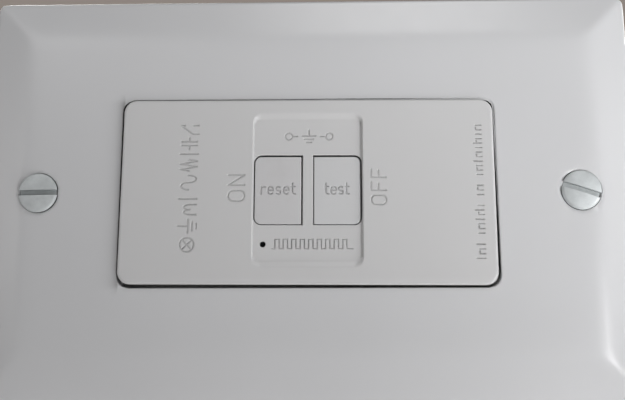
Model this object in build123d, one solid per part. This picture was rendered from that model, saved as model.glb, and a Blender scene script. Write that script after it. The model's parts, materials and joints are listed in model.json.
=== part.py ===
from build123d import *
import os

os.makedirs("parts", exist_ok=True)

# Blank-face ground-fault switch in a one-gang decorator wall plate, long axis level.
# Millimetres. X is the long axis, to the right as seen from the room, Y runs into the
# wall and Z is up. The origin is the device's centre on the wall's surface, so what
# stands in the room has Y below 0. "Front" is the lower Y of a piece, "back" the higher.

# ---------------------------------------------------------------- driving sizes
# Sizes in X and Z of pieces centred on the origin are half sizes.
PLATE_X, PLATE_Z = 59.55, 37.35      # wall plate
BEVEL = 8.45                         # width of the slope around its flat field
FLAT_X, FLAT_Z = PLATE_X - BEVEL, PLATE_Z - BEVEL
PLATE_Y, PLATE_EDGE_Y = -5.9, -3.0   # front of the flat field, front of the outer edge
PLATE_WALL = 2.0
OPENING_GAP, OPENING_R = 0.36, 2.05  # gap between plate and face, corner of the opening
FACE_X, FACE_Z, FACE_R = 33.25, 16.6, 2.3
FACE_Y = -6.6                        # front of the face
FACE_BACK = FACE_Y + 1.8             # back of the face's wall
FLANGE_Y = -3.2                      # front of the cover's flange
BODY_X, BODY_Z, BODY_R = 35.3, 20.6, 1.5  # cover flange, separator, housing

# button recess outlines: half X, bottom Z, top Z, corner radius
RECESS_LIP = (10.1, -14.45, 14.5, 1.9)
RECESS_MOUTH = (9.95, -13.85, 14.0, 1.7)
RECESS_FLOOR = (9.76, -12.6, 13.0, 1.3)
FLOOR_Y = -6.0                       # floor of the recess and front of the buttons

BUTTON_INNER, BUTTON_OUTER = 1.17, 9.45   # a button's inner and outer side
BUTTON_BOTTOM, BUTTON_TOP = -5.95, 6.2
BUTTON_GAP = 0.3                     # around a button
BUTTON_GAP_INNER = 0.37              # beside the bar between the two
BUTTON_BACK = -3.4                   # back of a button's cap, front of its flange
BUTTON_FLANGE_BACK = -2.4
BUTTON_X, BUTTON_Z = 5.3, 0.12       # stem centres
RESET = (-BUTTON_X, BUTTON_Z)
TEST = (BUTTON_X, BUTTON_Z)
LAMP = (-7.80, -9.60)                # X, Z

STRAP_T = 1.2
STRAP_X, STRAP_Z, EAR_Z = 53.2, 12.6, 9.8
GROUND = (41.0, 4.9)                 # X, Y of the grounding screw's axis
PLATE_SCREW_X = 96.84 / 2
BOX_SCREW_X = 83.34 / 2
SEP_FRONT, SEP_BACK = 0.05, 1.95
HOUSE_FRONT, HOUSE_BACK = 2.0, 27.0
HOUSE_WALL = 1.6
TERM_X, TERM_Y = 20.0, 10.5          # terminal screw centres

CORNERS = [(side, pole) for side in (-1, 1) for pole in (-1, 1)]  # signs of X and Z
CASE_SCREWS = [(side * 31.0, pole * 17.5) for side, pole in CORNERS]

BOARD_FRONT, BOARD_BACK = 22.6, 24.2
SEAT_Y = BOARD_FRONT - 0.02          # back of the components that sit on the board
LEG_END = BOARD_BACK + 0.3           # end of the legs that pass through the board
BUS_FRONT, BUS_BACK = 3.0, 3.8
BUS_Z = (5.2, 7.8)                   # strips that carry the fixed contacts
CONTACT_X, CONTACT_Z = (-11.3, 2.3), 6.5
BRIDGE_X = sum(CONTACT_X) / 2
BRIDGE_FRONT = 5.0
BLADE_PIN = (15.3, 3.1)              # X, Y of the test blade's pin
BLADE_Z = (-1.15, 1.4)
POST_X, POST_Y, POST_Z, POST_R = 4.2, 5.85, 3.3, 0.4
CARRIER_SPRINGS = ((-8.0, 2.7), (-2.6, -2.5))  # X, Z
LATCH_FRONT, LATCH_BACK = 9.2, 10.0
SOLENOID = (13.5, 0.0)               # Y, Z of its axis
CORE = (-20.0, 0.0)                  # X, Z of the sensing transformer's axis
VARISTOR_LEADS = ((-1.7, 14.0), (2.7, 14.0))   # X, Z


# ---------------------------------------------------------------- helpers
def box(x0, x1, y0, y1, z0, z1):
    """Block between two corners, whose coordinates may come in either order."""
    x0, x1 = sorted((x0, x1))
    y0, y1 = sorted((y0, y1))
    z0, z1 = sorted((z0, z1))
    return Pos((x0 + x1) / 2, (y0 + y1) / 2, (z0 + z1) / 2) * Box(x1 - x0, y1 - y0, z1 - z0)


def cyl_x(y, z, radius, x0, x1):
    return Pos((x0 + x1) / 2, y, z) * Rot(0, 90, 0) * Cylinder(radius, abs(x1 - x0))


def cyl_y(x, z, radius, y0, y1):
    return Pos(x, (y0 + y1) / 2, z) * Rot(90, 0, 0) * Cylinder(radius, abs(y1 - y0))


def cyl_z(x, y, radius, z0, z1):
    return Pos(x, y, (z0 + z1) / 2) * Cylinder(radius, abs(z1 - z0))


def cone_y(x, z, front_r, y0, back_r, y1):
    """Cone about a line along Y, with y0 below y1."""
    return Pos(x, (y0 + y1) / 2, z) * Rot(-90, 0, 0) * Cone(front_r, back_r, y1 - y0)


def room_plane(y, z=0.0):
    """Sketch plane facing the room at depth y: sketch x is X, sketch y is Z."""
    return Plane(origin=(0, y, z), x_dir=(1, 0, 0), z_dir=(0, -1, 0))


def rect_at(y, half_x, half_z):
    return room_plane(y) * Rectangle(2 * half_x, 2 * half_z)


def rounded_at(y, half_x, z0, z1, radius):
    return room_plane(y, (z0 + z1) / 2) * RectangleRounded(2 * half_x, z1 - z0, radius)


def rounded_block(half_x, half_z, radius, front, back):
    """Centred block with its corners rounded in X and Z."""
    return extrude(rounded_at(back, half_x, -half_z, half_z, radius), amount=back - front)


ALONG_X, ALONG_Y = Rot(0, 90, 0), Rot(-90, 0, 0)


def coil(start, direction, length, radius, wire_r, turns):
    """Round-wire compression spring; start is the centre of its first end."""
    path = Helix(pitch=length / turns, height=length, radius=radius)
    profile = Plane(origin=path @ 0, z_dir=path % 0) * Circle(wire_r)
    return Pos(*start) * direction * sweep(profile, path=path)


def only_solid(shape):
    solids = shape.solids()
    assert len(solids) == 1, len(solids)
    return solids[0]


def round_edges(shape, radius, chosen=lambda edge: True):
    """Fillet the edges that pass the test."""
    edges = [edge for edge in shape.edges() if chosen(edge)]
    # guards a fillet that the kernel can't build: the edges then stay sharp
    try:
        shape = fillet(edges, radius)
    except Exception:
        pass
    return only_solid(shape)


def at_y(y):
    return lambda edge: abs(edge.center().Y - y) < 0.01


def of_length(length):
    return lambda edge: abs(edge.length - length) < 0.01


def save(name, *shapes):
    solids = [solid for shape in shapes for solid in shape.solids()]
    out = solids[0] if len(solids) == 1 else Compound(children=solids)
    export_step(out, f"parts/{name}.step")


# ---------------------------------------------------------------- wall plate
def plate_body(half_x, half_z, flat_x, flat_z, edge_y, front, back=0.0):
    """Block with a sloped border rising to a flat field."""
    slope = loft([rect_at(edge_y, half_x, half_z), rect_at(front, flat_x, flat_z)], ruled=True)
    return box(-half_x, half_x, edge_y, back, -half_z, half_z) + slope


def wall_plate():
    plate = only_solid(plate_body(PLATE_X, PLATE_Z, FLAT_X, FLAT_Z, PLATE_EDGE_Y, PLATE_Y))
    # outer corners, then the long edges where the slope begins
    is_corner = of_length(abs(PLATE_EDGE_Y))
    plate = round_edges(plate, 1.6, lambda edge: is_corner(edge) and abs(edge.center().X) > 50)
    plate = round_edges(plate, 0.9, lambda edge: abs(edge.center().Y - PLATE_EDGE_Y) < 0.02
                        and edge.length > 50)
    plate -= only_solid(plate_body(PLATE_X - PLATE_WALL, PLATE_Z - PLATE_WALL,
                                   FLAT_X - 0.6, FLAT_Z - 0.6,
                                   -1.5, PLATE_Y + PLATE_WALL, 1.0))
    plate = only_solid(plate)
    plate -= rounded_block(FACE_X + OPENING_GAP, FACE_Z + OPENING_GAP, OPENING_R,
                           PLATE_Y - 1, 0)
    for x in (-PLATE_SCREW_X, PLATE_SCREW_X):
        plate += cyl_y(x, 0, 3.1, PLATE_Y + 0.5, -1.25)      # boss that meets the strap
        plate -= cone_y(x, 0, 3.72, PLATE_Y - 0.01, 1.9, PLATE_Y + 1.85)
        plate -= cyl_y(x, 0, 1.9, PLATE_Y, 0)
    # stiffening ribs inside the rim, along the long sides
    for side in (-1, 1):
        for x in (-36.0, -12.0, 12.0, 36.0):
            rib = loft([rect_at(-0.6, 0.6, 6.9), rect_at(PLATE_Y + 1.2, 0.6, 0.6)], ruled=True)
            plate += Pos(x, 0, side * 29.0) * rib
    return plate


def plate_screw(x, slot_angle):
    """Slotted screw with an oval head."""
    head_r, shank_r, dome_r = 3.58, 1.62, 8.18
    head = cone_y(x, 0, head_r, PLATE_Y + 0.08, shank_r, PLATE_Y + 1.80)
    dome = Pos(x, PLATE_Y + 0.1 + 7.35, 0) * Sphere(dome_r)
    dome &= cyl_y(x, 0, head_r, PLATE_Y - 1.2, PLATE_Y + 0.1)
    shank = cyl_y(x, 0, shank_r, PLATE_Y + 1.7, 3.5)
    slot = Pos(x, PLATE_Y - 0.2, 0) * Rot(0, slot_angle, 0) * Box(9, 1.15, 0.95)
    return head + dome + shank - slot


save("wall_plate", wall_plate())
save("wall_plate_screws", plate_screw(-PLATE_SCREW_X, -1.0), plate_screw(PLATE_SCREW_X, 18.0))


# ---------------------------------------------------------------- buttons and front cover
# side is -1 for reset (left) and 1 for test (right)
def button_block(side, grow, front, back, corner_r):
    """Button outline, rounded only at its two outer corners."""
    block = only_solid(box(side * (BUTTON_INNER - grow * BUTTON_GAP_INNER / BUTTON_GAP),
                           side * (BUTTON_OUTER + grow), front, back,
                           BUTTON_BOTTOM - grow, BUTTON_TOP + grow))

    def is_outer_corner(edge):
        bounds = edge.bounding_box()
        depth = bounds.max.Y - bounds.min.Y
        return abs(edge.center().X) > 7 and abs(edge.length - depth) < 1e-6

    return round_edges(block, corner_r, is_outer_corner)


def front_cover():
    face = only_solid(rounded_block(FACE_X, FACE_Z, FACE_R, FACE_Y, FLANGE_Y + 0.5))
    face = round_edges(face, 0.55, at_y(FACE_Y))
    cover = face + rounded_block(BODY_X, BODY_Z, BODY_R, FLANGE_Y, 0)
    cover -= rounded_block(31.6, 14.9, 1.0, FACE_BACK, 0.1)
    # channel for the strap
    cover -= box(-40, 40, -STRAP_T - 0.05, 0.1, -STRAP_Z - 0.15, STRAP_Z + 0.15)
    cover = only_solid(cover)
    recess = loft([rounded_at(FACE_Y, *RECESS_MOUTH),
                   rounded_at(FLOOR_Y, *RECESS_FLOOR)], ruled=True)
    recess += loft([rounded_at(FACE_Y - 0.3, *RECESS_LIP),
                    rounded_at(FACE_Y, *RECESS_MOUTH)], ruled=True)
    cover -= recess
    for side in (-1, 1):
        cover -= button_block(side, BUTTON_GAP, FLOOR_Y - 1, FACE_BACK + 0.1, 1.4)
    cover -= cyl_y(*LAMP, 0.55, FLOOR_Y - 1, FACE_BACK + 1)
    # guide rails for the two buttons behind the face, clear of their flanges
    for side in (-1, 1):
        cover += box(-10.9, 10.9, FACE_BACK, -1.6, side * 7.0 + BUTTON_Z, side * 8.0 + BUTTON_Z)
    for centre in CASE_SCREWS:
        cover -= cyl_y(*centre, 1.25, -2.7, 0.1)
    return cover


def button_cap(side):
    """Hollow cap with a flange at its back."""
    cap = button_block(side, 0, FLOOR_Y, BUTTON_BACK, 1.2)
    cap = round_edges(cap, 0.22, at_y(FLOOR_Y))
    cap += box(side * (BUTTON_INNER - 0.55), side * (BUTTON_OUTER + 0.6),
               BUTTON_BACK, BUTTON_FLANGE_BACK, BUTTON_BOTTOM - 0.6, BUTTON_TOP + 0.6)
    return cap - box(side * (BUTTON_X - 3.0), side * (BUTTON_X + 3.0), -4.9, -2.3,
                     BUTTON_Z - 4.8, BUTTON_Z + 4.8)


def reset_button():
    """Cap with a socket for the reset pin."""
    button = button_cap(-1) + cyl_y(*RESET, 1.6, -4.95, BUTTON_FLANGE_BACK)
    return button - cyl_y(*RESET, 0.67, -4.2, -2.0)


def test_button():
    """Cap with a long round-ended stem."""
    stem_r, stem_end = 1.15, 2.1
    button = button_cap(1) + cyl_y(*TEST, stem_r, -4.95, stem_end)
    tip = Pos(BUTTON_X, stem_end, BUTTON_Z) * Sphere(stem_r)
    return button + (tip & cyl_y(*TEST, stem_r, 2.0, 2.65))


def reset_pin():
    """Slim shank with a shouldered bulb that hooks behind the latch plate."""
    bulb_r = 1.1
    pin = cyl_y(*RESET, 0.65, -4.15, 11.7)
    pin += cyl_y(*RESET, bulb_r, 11.6, 13.0)
    return pin + cone_y(*RESET, bulb_r, 13.0, 0.4, 14.2)


def button_spring(x):
    return coil((x, -4.6, BUTTON_Z), ALONG_Y, length=4.3, radius=2.25, wire_r=0.2, turns=5)


save("front_cover", front_cover())
save("reset_button", reset_button())
save("test_button", test_button())
save("reset_pin", reset_pin())
save("reset_spring", button_spring(-BUTTON_X))
save("test_spring", button_spring(BUTTON_X))
save("light_pipe", cyl_y(*LAMP, 0.48, -5.55, -4.7) + cyl_y(*LAMP, 1.1, -4.75, 19.9))
save("lamp", cyl_y(*LAMP, 1.2, 20.0, 22.5) + cyl_y(*LAMP, 1.5, 21.7, 22.55))


# ---------------------------------------------------------------- mounting strap
def mounting_strap():
    strap = only_solid(box(-BODY_X, BODY_X, -STRAP_T, 0, -STRAP_Z, STRAP_Z))
    strap += only_solid(rounded_block(STRAP_X, EAR_Z, 3.0, -STRAP_T, 0))
    strap -= rounded_block(22.5, 8.6, 1.5, -STRAP_T - 1, 1)
    strap -= box(-9.4, -5.7, -STRAP_T - 1, 1, -11.2, -8.0)   # clears the light pipe
    slot_r, slot_z = 2.0, 1.6        # upright box screw slot: end radius, end centres
    for side in (-1, 1):
        strap -= cyl_y(side * PLATE_SCREW_X, 0, 1.66, -2, 1)
        x = side * BOX_SCREW_X
        slot = box(x - slot_r, x + slot_r, -2, 1, -slot_z, slot_z)
        strap -= slot + cyl_y(x, -slot_z, slot_r, -2, 1) + cyl_y(x, slot_z, slot_r, -2, 1)
        # notches in the ear's upper and lower edges
        for z in (-EAR_Z, EAR_Z):
            strap -= cyl_y(side * (STRAP_X - 2.2), z, 1.5, -2, 1)
    # grounding tab, turned back at the right ear's lower edge
    strap += box(GROUND[0] - 3.6, GROUND[0] + 3.6, -STRAP_T, 8.6, -EAR_Z, -EAR_Z + STRAP_T)
    return strap - cyl_z(*GROUND, 1.95, -12, -6)


def ground_screw():
    """Slotted hex head with a washer flange, pointing up."""
    screw = cyl_z(*GROUND, 1.9, -EAR_Z - 0.1, -5.4)
    screw += cyl_z(*GROUND, 4.3, -EAR_Z - 0.9, -EAR_Z - 0.02)
    hexagon = Plane.XY.offset(-EAR_Z - 3.3) * RegularPolygon(3.9, 6)
    screw += Pos(*GROUND, 0) * extrude(hexagon, amount=2.45)
    x, y = GROUND
    return screw - box(x - 5, x + 5, y - 0.5, y + 0.5, -EAR_Z - 3.6, -EAR_Z - 2.1)


def box_screw(x):
    head_y, thread_r = -2.9, 1.72
    screw = only_solid(cyl_y(x, 0, 3.4, head_y, -STRAP_T - 0.02))
    screw = round_edges(screw, 0.8, at_y(head_y))
    screw += cyl_y(x, 0, 1.5, -1.5, 1.5)         # relieved neck through strap and washer
    screw += cyl_y(x, 0, thread_r, 0.95, 23.0)
    screw += cone_y(x, 0, thread_r, 23.0, 1.0, 24.2)
    return screw - Pos(x, head_y, 0) * Box(8, 1.6, 0.9)


def screw_retainer(x):
    """Washer behind the strap."""
    return cyl_y(x, 0, 3.6, 0.05, 0.9) - cyl_y(x, 0, 1.62, 0, 1)


save("mounting_strap", mounting_strap())
save("ground_screw", ground_screw())
save("box_screws", *[box_screw(side * BOX_SCREW_X) for side in (-1, 1)])
save("screw_retainers", *[screw_retainer(side * BOX_SCREW_X) for side in (-1, 1)])


# ---------------------------------------------------------------- separator and test blade
def separator():
    plate = only_solid(rounded_block(BODY_X, BODY_Z, BODY_R, SEP_FRONT, SEP_BACK))
    for centre in (RESET, TEST):
        plate -= cyl_y(*centre, 1.45, -1, 3)
    plate -= cyl_y(*LAMP, 1.35, -1, 3)
    for centre in CASE_SCREWS:
        plate -= cyl_y(*centre, 1.45, -1, 3)
    # cradle for the test blade's pin
    for z0, z1 in ((-2.3, -1.35), (1.6, 2.55)):
        plate += box(14.2, 16.4, SEP_BACK - 0.2, 4.2, z0, z1)
    plate -= cyl_z(*BLADE_PIN, 0.52, -3, 3.2)
    # ribs beside the contact strips
    for pole in (-1, 1):
        plate += box(-12.5, 12.0, SEP_BACK - 0.2, 4.6, pole * 10.9, pole * 11.5)
    return plate


def test_blade():
    """Flat blade with an eye on its pin."""
    blade = box(3.3, 15.0, 2.85, 3.15, *BLADE_Z)
    blade += cyl_z(*BLADE_PIN, 0.95, *BLADE_Z)
    return blade - cyl_z(*BLADE_PIN, 0.55, -3, 3)


def test_post():
    """Wire from the board, bent down across the end of the blade."""
    post = cyl_y(POST_X, POST_Z, POST_R, POST_Y, BOARD_BACK)
    post += cyl_z(POST_X, POST_Y, POST_R, -0.6, POST_Z)
    return post + Pos(POST_X, POST_Y, POST_Z) * Sphere(POST_R)


save("separator", separator())
save("test_blade", test_blade())
save("test_blade_pin", cyl_z(*BLADE_PIN, 0.5, -2.25, 2.5))
save("test_post", test_post())


# ---------------------------------------------------------------- rear housing
def rear_housing():
    house = only_solid(rounded_block(BODY_X, BODY_Z, BODY_R, HOUSE_FRONT, HOUSE_BACK))
    house = round_edges(house, 0.8, at_y(HOUSE_BACK))
    house -= rounded_block(BODY_X - HOUSE_WALL, BODY_Z - HOUSE_WALL, 1.0,
                           HOUSE_FRONT - 1, HOUSE_BACK - 1.8)
    # terminal blocks and case screw posts
    for (side, pole), centre in zip(CORNERS, CASE_SCREWS):
        house += box(side * (TERM_X - 8), side * (TERM_X + 8), HOUSE_FRONT, HOUSE_BACK - 0.9,
                     pole * 11.6, pole * (BODY_Z - 0.4))
        house += cyl_y(*centre, 2.6, HOUSE_FRONT, HOUSE_BACK - 0.9)
    for (side, pole), centre in zip(CORNERS, CASE_SCREWS):
        # terminal pocket, open at the side and towards the separator
        house -= box(side * (TERM_X - 6.6), side * (TERM_X + 6.6), HOUSE_FRONT - 1, 18.2,
                     pole * 13.2, pole * 22)
        # notch for the bar that leads inside, and the screw's tip hole
        notch_end = 28.4 if side < 0 else 25.4
        house -= box(side * 14.6, side * notch_end, HOUSE_FRONT - 1, 3.95,
                     pole * 9.0, pole * 14.5)
        house -= cyl_z(side * TERM_X, TERM_Y, 2.2, pole * 11.0, pole * 14.0)
        # push-in wire holes in the back, two to a terminal
        for shift in (-3.5, 3.5):
            hole = (side * TERM_X + shift, pole * 15.6)
            house -= cyl_y(*hole, 1.45, 17, 28)
            house -= cone_y(*hole, 1.45, HOUSE_BACK - 0.7, 2.15, HOUSE_BACK + 0.01)
        house -= cyl_y(*centre, 1.3, 0, 28)
        house -= cyl_y(*centre, 2.15, 25.2, 28)
    # two rails that carry the board
    for side in (-1, 1):
        house += box(side * 30.0, side * 33.9, BOARD_BACK + 0.05, HOUSE_BACK - 1.5, -8.0, 8.0)
    return house


def case_screw(x, z):
    """Cross-slotted screw, driven from the back."""
    head_y = 26.75
    screw = cyl_y(x, z, 1.2, -2.6, 25.6)
    screw += cyl_y(x, z, 2.05, 25.25, head_y)
    screw -= Pos(x, head_y, z) * Box(3.0, 1.8, 0.6)
    return screw - Pos(x, head_y, z) * Box(0.6, 1.8, 3.0)


save("rear_housing", rear_housing())
save("case_screws", *[case_screw(*centre) for centre in CASE_SCREWS])


# ---------------------------------------------------------------- terminals and buses
# side is -1 for line and 1 for load; pole is 1 for hot (up) and -1 for neutral (down).
# A leg grown by a clearance is its slot in the board.
def line_leg(pole, front, back, grow=0.0):
    return box(-28.0 - grow, -25.6 + grow, front, back, pole * (9.6 - grow), pole * (10.4 + grow))


def bus_leg(pole, front, back, grow=0.0):
    return box(CORE[0] - 1.0 - grow, CORE[0] + 1.0 + grow, front, back,
               pole * (1.1 - grow), pole * (2.1 + grow))


def strip(x0, x1, pole, z0, z1):
    """Flat length of bar at the buses' depth."""
    return box(x0, x1, BUS_FRONT, BUS_BACK, pole * z0, pole * z1)


def terminal_bar(side, pole):
    inner, outer = TERM_X - 5.2, TERM_X + 5.2
    z_back = 14.25
    bar = box(side * inner, side * outer, BUS_FRONT, 17.0, pole * 13.25, pole * z_back)
    bar -= cyl_z(side * TERM_X, TERM_Y, 1.78, pole * 12, pole * 16)
    if side < 0:   # line: over the pocket's wall, then back to the board
        bar += strip(-28.0, -inner, pole, 9.6, z_back)
        bar += line_leg(pole, BUS_FRONT, LEG_END)
    else:          # load: over the wall, then along to the fixed contact
        bar += strip(inner, 19.5, pole, BUS_Z[0], z_back)
        bar += strip(1.0, 19.5, pole, *BUS_Z)
    return bar


def clamp_plate(side, pole):
    centre_x, thickness = side * TERM_X, 1.2
    clamp = box(centre_x - 5.2, centre_x + 5.2, 5.0, 16.2, pole * 14.30, pole * 15.5)
    clamp = round_edges(clamp, 0.8, of_length(thickness))
    clamp -= cyl_z(centre_x, TERM_Y, 2.1, pole * 13, pole * 17)
    # serrations that grip the wire
    for x in (centre_x - 3.4, centre_x + 3.4):
        for shift in (-3.6, -2.4, 2.4, 3.6):
            y = TERM_Y + shift
            clamp -= box(x - 1.3, x + 1.3, y - 0.2, y + 0.2, pole * 14.2, pole * 14.55)
    return clamp


def terminal_screw(side, pole):
    x, head_z = side * TERM_X, 18.3
    screw = cyl_z(x, TERM_Y, 1.73, pole * 9.4, pole * 16.5)
    head = cyl_z(x, TERM_Y, 4.0, pole * 15.55, pole * head_z)
    screw += round_edges(head, 0.7, lambda edge: abs(abs(edge.center().Z) - head_z) < 0.01)
    screw -= Pos(x, TERM_Y, pole * head_z) * Box(9, 1.0, 2.2)
    return screw - Pos(x, TERM_Y, pole * head_z) * Box(1.0, 4.4, 2.6)


def bus(pole):
    """Bar from the board through the sensing cores to a fixed contact."""
    left, right = CORE[0] - 1.0, CORE[0] + 1.0
    bar = bus_leg(pole, BUS_FRONT, LEG_END)
    bar += strip(left, right, pole, 1.1, BUS_Z[1])
    return bar + strip(left, -10.0, pole, *BUS_Z)


for lead, side in (("line", -1), ("load", 1)):
    for pole_name, pole in (("hot", 1), ("neutral", -1)):
        save(f"{lead}_{pole_name}_bar", terminal_bar(side, pole))
        save(f"{lead}_{pole_name}_clamp", clamp_plate(side, pole))
        save(f"{lead}_{pole_name}_screw", terminal_screw(side, pole))
save("hot_bus", bus(1))
save("neutral_bus", bus(-1))


# ---------------------------------------------------------------- contacts, carrier, latch
def contacts(front, back):
    return [cyl_y(x, z, 1.15, front, back) for x in CONTACT_X for z in (-CONTACT_Z, CONTACT_Z)]


def contact_bridge(z):
    thickness = 0.8
    bar = box(CONTACT_X[0] - 1.4, CONTACT_X[1] + 1.4, BRIDGE_FRONT, BRIDGE_FRONT + thickness,
              z - 1.3, z + 1.3)
    bar = round_edges(bar, 0.9, of_length(thickness))
    return bar - cyl_y(BRIDGE_X, z, 0.72, 4, 7)


def contact_carrier():
    front = 5.85
    carrier = box(-9.3, -1.3, front, 12.5, -4.0, 4.0)
    carrier += box(-7.4, -1.6, front, 7.6, -7.9, 7.9)
    for z in (-CONTACT_Z, CONTACT_Z):            # pegs through the bridges
        carrier += cyl_y(BRIDGE_X, z, 0.7, 4.7, 6.0)
    carrier -= cyl_y(*RESET, 1.4, 4, 14)
    carrier -= box(-10, 0, LATCH_FRONT - 0.06, LATCH_BACK + 0.06, -2.6, 2.8)
    for centre in CARRIER_SPRINGS:               # spring seats
        carrier -= cyl_y(*centre, 1.25, 5.8, 7.0)
    return carrier


def latch_plate():
    """Plate with a keyhole for the reset pin, turned back at its right end."""
    hole_x = 2.0 - BUTTON_X
    latch = box(-11.4, 1.6, LATCH_FRONT, LATCH_BACK, -2.4, 2.6)
    latch += box(1.5, 2.3, LATCH_FRONT, 15.2, -2.4, 2.6)
    latch -= cyl_y(hole_x, BUTTON_Z, 1.35, 8, 11)
    return latch - box(-BUTTON_X - 0.85, hole_x, 8, 11, BUTTON_Z - 0.8, BUTTON_Z + 0.8)


save("fixed_contacts", *contacts(BUS_BACK, 4.48))
save("moving_contacts", *contacts(4.50, BRIDGE_FRONT))
save("contact_bridges", contact_bridge(-CONTACT_Z), contact_bridge(CONTACT_Z))
save("contact_carrier", contact_carrier())
save("carrier_springs", *[coil((x, 2.2, z), ALONG_Y, length=4.55, radius=0.9, wire_r=0.14, turns=6)
                          for x, z in CARRIER_SPRINGS])
save("latch_plate", latch_plate())
save("latch_spring", coil((-1.1, 11.7, BUTTON_Z), ALONG_X,
                          length=2.4, radius=0.95, wire_r=0.14, turns=4))


# ---------------------------------------------------------------- solenoid
def solenoid_frame():
    """Two end walls joined by a wall at the back."""
    for_span = ((9.0, 10.2, 7.0), (27.8, 29.0, 7.0), (9.0, 29.0, 20.2))  # X0, X1, front
    walls = [box(x0, x1, front, 21.4, -6.6, 6.6) for x0, x1, front in for_span]
    frame = walls[0] + walls[1] + walls[2]
    frame -= cyl_x(*SOLENOID, 1.25, 8, 11)
    return frame - cyl_x(*SOLENOID, 1.6, 27, 30)


def solenoid_bobbin():
    bobbin = cyl_x(*SOLENOID, 3.2, 10.25, 27.75)
    bobbin += cyl_x(*SOLENOID, 6.4, 10.25, 11.25)
    bobbin += cyl_x(*SOLENOID, 6.4, 26.75, 27.75)
    return bobbin - cyl_x(*SOLENOID, 2.35, 9, 29)


save("solenoid_frame", solenoid_frame())
save("solenoid_bobbin", solenoid_bobbin())
save("solenoid_coil", cyl_x(*SOLENOID, 6.0, 11.3, 26.7) - cyl_x(*SOLENOID, 3.25, 11, 27))
save("solenoid_plunger", cyl_x(*SOLENOID, 2.28, 15.0, 27.2) + cyl_x(*SOLENOID, 0.95, 2.35, 15.1))
save("plunger_spring", coil((10.5, *SOLENOID), ALONG_X,
                            length=4.2, radius=1.55, wire_r=0.2, turns=6))


# ---------------------------------------------------------------- sensing transformer
def transformer_case():
    """Drum with a bore and two closed ring chambers."""
    case = cyl_y(*CORE, 9.6, 12.9, 22.5)
    case -= cyl_y(*CORE, 3.1, 12, 23)
    for front, back in ((13.7, 17.4), (18.0, 21.7)):
        case -= cyl_y(*CORE, 9.0, front, back) - cyl_y(*CORE, 3.7, 12, 23)
    return case


def toroid_core(front):
    return cyl_y(*CORE, 8.3, front, front + 3.1) - cyl_y(*CORE, 4.4, front - 1, front + 4)


save("transformer_case", transformer_case())
save("toroid_cores", toroid_core(14.0), toroid_core(18.3))


# ---------------------------------------------------------------- circuit board
def circuit_board():
    board = box(-32.5, 32.5, BOARD_FRONT, BOARD_BACK, -11.2, 11.2)
    board += box(-11.6, 11.6, BOARD_FRONT, BOARD_BACK, -18.4, 18.4)
    for pole in (-1, 1):
        for leg in (bus_leg, line_leg):
            board -= leg(pole, BOARD_FRONT - 1, BOARD_BACK + 1, grow=0.2)
    board -= cyl_y(POST_X, POST_Z, 0.5, 20, 26)
    for centre in VARISTOR_LEADS:
        board -= cyl_y(*centre, 0.45, 20, 26)
    return board


def varistor():
    disc = cyl_z(0.5, 15.4, 4.9, 12.4, 15.6)
    for centre in VARISTOR_LEADS:
        disc += cyl_y(*centre, 0.35, 19.0, BOARD_BACK + 0.5)
    return disc


def resistor(x, z):
    """Body along X with a thicker band at each end."""
    body = cyl_x(20.9, z, 1.05, x - 1.9, x + 1.9)
    return (body + cyl_x(20.9, z, 1.25, x - 2.3, x - 1.5)
            + cyl_x(20.9, z, 1.25, x + 1.5, x + 2.3))


def control_chip():
    chip = box(-2.4, 2.8, 20.9, SEAT_Y, -8.9, -5.0)
    for k in range(4):
        x = -1.9 + 1.27 * k
        for side, z in ((-1, -8.9), (1, -5.0)):
            chip += box(x - 0.2, x + 0.2, 21.7, SEAT_Y, z, z + side * 0.9)
    return chip


def thyristor():
    body = box(3.2, 7.6, 17.4, 21.0, 7.0, 9.6)
    for x in (4.0, 5.4, 6.8):
        body += box(x - 0.25, x + 0.25, 20.9, SEAT_Y, 7.8, 8.2)
    return body


save("circuit_board", circuit_board())
save("varistor", varistor())
# only the upper capacitor has a rounded front rim
save("capacitors", round_edges(cyl_y(8.0, 14.6, 2.6, 13.6, SEAT_Y), 0.4, at_y(13.6)),
     cyl_y(8.2, -14.4, 2.4, 14.6, SEAT_Y))
save("film_capacitor", round_edges(box(-10.6, -4.6, 14.4, SEAT_Y, 12.6, 17.2), 0.5))
save("resistors", *[resistor(x, z) for x in (-3.6, 2.0) for z in (-12.2, -15.4)])
save("control_chip", control_chip())
save("thyristor", thyristor())
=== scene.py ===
"""A wall device with a reset and a test button, in a white plate held by two slotted screws.

X runs along the device to the right, Y into the wall and Z up, so the front faces -Y.
Shapes are in millimetres in the CAD frame. The scene is in metres.
"""
import json
import math

import bmesh
import bpy
import numpy as np
from mathutils import Matrix, Vector


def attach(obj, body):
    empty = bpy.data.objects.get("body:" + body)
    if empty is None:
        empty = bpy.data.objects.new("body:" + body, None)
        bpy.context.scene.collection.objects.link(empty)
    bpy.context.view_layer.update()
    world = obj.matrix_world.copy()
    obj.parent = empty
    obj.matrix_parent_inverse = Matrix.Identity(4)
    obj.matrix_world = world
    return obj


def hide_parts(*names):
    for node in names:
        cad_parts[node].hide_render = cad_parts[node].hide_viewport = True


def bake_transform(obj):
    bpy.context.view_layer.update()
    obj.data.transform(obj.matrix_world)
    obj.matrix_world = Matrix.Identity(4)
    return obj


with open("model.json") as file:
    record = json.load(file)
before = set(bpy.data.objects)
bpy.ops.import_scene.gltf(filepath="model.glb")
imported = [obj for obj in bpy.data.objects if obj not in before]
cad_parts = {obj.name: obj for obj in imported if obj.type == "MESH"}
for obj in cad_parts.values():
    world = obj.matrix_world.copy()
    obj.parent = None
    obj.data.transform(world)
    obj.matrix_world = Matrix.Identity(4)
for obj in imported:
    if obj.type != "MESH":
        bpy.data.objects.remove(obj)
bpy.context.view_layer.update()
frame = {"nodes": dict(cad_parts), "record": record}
scene = bpy.context.scene

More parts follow.
